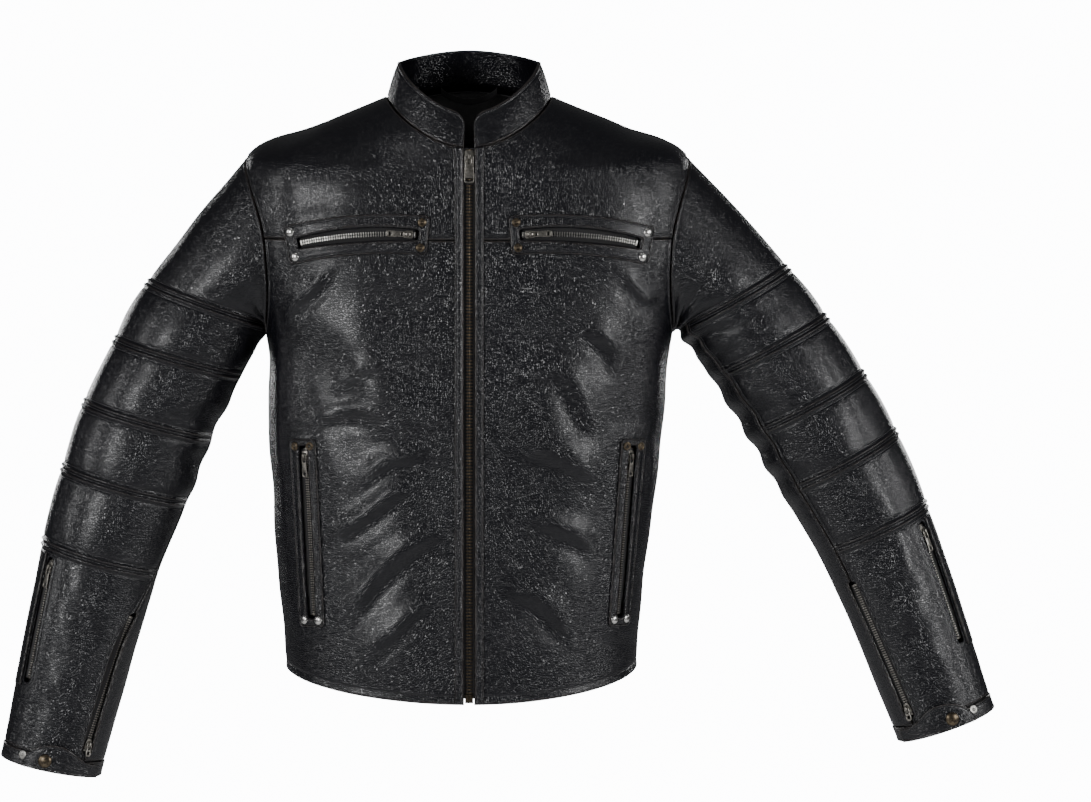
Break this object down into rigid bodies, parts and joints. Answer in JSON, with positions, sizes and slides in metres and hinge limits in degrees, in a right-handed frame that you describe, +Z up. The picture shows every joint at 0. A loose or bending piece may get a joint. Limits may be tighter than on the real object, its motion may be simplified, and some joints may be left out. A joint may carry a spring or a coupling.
{
  "type": "leather riding jacket",
  "caption": "Leather riding jacket with a stand collar, front zip, zipped riveted chest and hand pockets, ribbed sleeves with zipped vents, and zipped cuffs with snap straps.",
  "frame": {"origin": "middle of the neck opening, level with the back neck seam, where a hanger's hook rises", "axes": "+X towards the wearer's left, -Y out of the front, +Z up"},
  "size_m": [1.0471, 0.248, 0.7666],
  "materials": {
    "leather": "satin, fine pebble grain",
    "zip_tape": "woven tape with metal teeth",
    "gunmetal": "dark antique",
    "nickel": "aged nickel",
    "lining": "smooth woven"
  },
  "bodies": {
    "shell": {"chest_right_welt": "leather", "chest_right_zip": "zip_tape", "chest_right_rivets": "nickel", "hand_right_welt": "leather", "hand_right_zip": "zip_tape", "hand_right_rivets": "nickel", "front_panel_right": "leather", "front_yoke_right": "leather", "placket_strip_right": "leather", "chest_left_welt": "leather", "chest_left_zip": "zip_tape", "chest_left_rivets": "nickel", "hand_left_welt": "leather", "hand_left_zip": "zip_tape", "hand_left_rivets": "nickel", "front_panel_left": "leather", "front_yoke_left": "leather", "placket_strip_left": "leather", "back_panel": "leather", "back_yoke": "leather", "collar": "leather", "hanger_loop": "zip_tape", "main_tape_right": "zip_tape", "main_tape_left": "zip_tape", "main_box": "gunmetal", "top_sleeve_right": "leather", "under_sleeve_right": "leather", "cuff_zip_right": "zip_tape", "vent_zip_right": "zip_tape", "vent_welt_right": "leather", "cuff_band_right": "leather", "top_sleeve_left": "leather", "under_sleeve_left": "leather", "cuff_zip_left": "zip_tape", "vent_zip_left": "zip_tape", "vent_welt_left": "leather", "cuff_band_left": "leather", "lining": "lining"},
    "chest_right_slider": {"chest_right_slider": "gunmetal"},
    "chest_right_pull": {"chest_right_pull": "gunmetal"},
    "hand_right_slider": {"hand_right_slider": "gunmetal"},
    "hand_right_pull": {"hand_right_pull": "gunmetal"},
    "chest_left_slider": {"chest_left_slider": "gunmetal"},
    "chest_left_pull": {"chest_left_pull": "gunmetal"},
    "hand_left_slider": {"hand_left_slider": "gunmetal"},
    "hand_left_pull": {"hand_left_pull": "gunmetal"},
    "main_slider": {"main_slider": "gunmetal"},
    "main_pull": {"main_pull": "gunmetal"},
    "cuff_right_slider": {"cuff_right_slider": "gunmetal"},
    "cuff_right_pull": {"cuff_right_pull": "gunmetal"},
    "vent_right_slider": {"vent_right_slider": "gunmetal"},
    "vent_right_pull": {"vent_right_pull": "gunmetal"},
    "cuff_strap_right": {"cuff_strap_right": "leather", "cuff_snap_right": "nickel"},
    "cuff_left_slider": {"cuff_left_slider": "gunmetal"},
    "cuff_left_pull": {"cuff_left_pull": "gunmetal"},
    "vent_left_slider": {"vent_left_slider": "gunmetal"},
    "vent_left_pull": {"vent_left_pull": "gunmetal"},
    "cuff_strap_left": {"cuff_strap_left": "leather", "cuff_snap_left": "nickel"}
  },
  "joints": [
    {"name": "chest_right_slider_slide", "type": "hinge", "parent": "shell", "child": "chest_right_slider", "pos_m": [-0.06932, 0.12864, -0.34706], "axis": [-0.0388, -0.6434, -0.7646], "range_deg": [0, 18.19]},
    {"name": "chest_right_pull_swing", "type": "hinge", "parent": "chest_right_slider", "child": "chest_right_pull", "pos_m": [-0.06262, -0.09994, -0.15815], "axis": [0.0447, 0.044, 0.998], "range_deg": [0, 150]},
    {"name": "hand_right_slider_slide", "type": "slide", "parent": "shell", "child": "hand_right_slider", "axis": [0.0483, -0.0183, -0.9987], "range_m": [0, 0.1461]},
    {"name": "hand_right_pull_swing", "type": "hinge", "parent": "hand_right_slider", "child": "hand_right_pull", "pos_m": [-0.17112, -0.07492, -0.38807], "axis": [-0.8066, 0.589, -0.0498], "range_deg": [0, 150]},
    {"name": "chest_left_slider_slide", "type": "hinge", "parent": "shell", "child": "chest_left_slider", "pos_m": [0.06916, 0.1226, -0.34168], "axis": [-0.0397, 0.6428, 0.765], "range_deg": [0, 18.62]},
    {"name": "chest_left_pull_swing", "type": "hinge", "parent": "chest_left_slider", "child": "chest_left_pull", "pos_m": [0.0626, -0.09992, -0.15814], "axis": [0.0456, -0.046, -0.9979], "range_deg": [0, 150]},
    {"name": "hand_left_slider_slide", "type": "slide", "parent": "shell", "child": "hand_left_slider", "axis": [-0.0737, 0.0062, -0.9973], "range_m": [0, 0.1462]},
    {"name": "hand_left_pull_swing", "type": "hinge", "parent": "hand_left_slider", "child": "hand_left_pull", "pos_m": [0.16888, -0.07113, -0.38809], "axis": [-0.7306, -0.681, 0.0497], "range_deg": [0, 150]},
    {"name": "main_slider_slide", "type": "slide", "parent": "shell", "child": "main_slider", "axis": [0, -0.0437, -0.999], "range_m": [0, 0.5419]},
    {"name": "main_pull_swing", "type": "hinge", "parent": "main_slider", "child": "main_pull", "pos_m": [0, -0.09769, -0.07886], "axis": [-1, 0, 0], "range_deg": [0, 150]},
    {"name": "cuff_right_slider_slide", "type": "slide", "parent": "shell", "child": "cuff_right_slider", "axis": [0.3118, 0.1348, 0.9405], "range_m": [0, 0.132]},
    {"name": "cuff_right_pull_swing", "type": "hinge", "parent": "cuff_right_slider", "child": "cuff_right_pull", "pos_m": [-0.3973, -0.06612, -0.69168], "axis": [0.6753, 0.665, -0.3192], "range_deg": [-150, 0]},
    {"name": "vent_right_slider_slide", "type": "slide", "parent": "shell", "child": "vent_right_slider", "axis": [-0.1966, -0.0846, -0.9768], "range_m": [0, 0.0981]},
    {"name": "vent_right_pull_swing", "type": "hinge", "parent": "vent_right_slider", "child": "vent_right_pull", "pos_m": [-0.4404, -0.0485, -0.50721], "axis": [-0.7196, 0.6892, 0.0852], "range_deg": [0, 150]},
    {"name": "cuff_strap_right_swing", "type": "hinge", "parent": "shell", "child": "cuff_strap_right", "pos_m": [-0.3913, -0.06044, -0.72778], "axis": [0.2476, 0.1055, 0.9631], "range_deg": [0, 100]},
    {"name": "cuff_left_slider_slide", "type": "slide", "parent": "shell", "child": "cuff_left_slider", "axis": [-0.3961, 0.0997, 0.9128], "range_m": [0, 0.1322]},
    {"name": "cuff_left_pull_swing", "type": "hinge", "parent": "cuff_left_slider", "child": "cuff_left_pull", "pos_m": [0.45725, -0.06694, -0.65381], "axis": [0.7066, -0.6017, 0.3723], "range_deg": [-150, 0]},
    {"name": "vent_left_slider_slide", "type": "slide", "parent": "shell", "child": "vent_left_slider", "axis": [0.32, -0.0866, -0.9435], "range_m": [0, 0.0978]},
    {"name": "vent_left_pull_swing", "type": "hinge", "parent": "vent_left_slider", "child": "vent_left_pull", "pos_m": [0.47693, -0.04852, -0.46927], "axis": [-0.7041, -0.688, -0.1757], "range_deg": [0, 150]},
    {"name": "cuff_strap_left_swing", "type": "hinge", "parent": "shell", "child": "cuff_strap_left", "pos_m": [0.45507, -0.06112, -0.69042], "axis": [0.3637, -0.1076, -0.9253], "range_deg": [0, 100]}
  ]
}
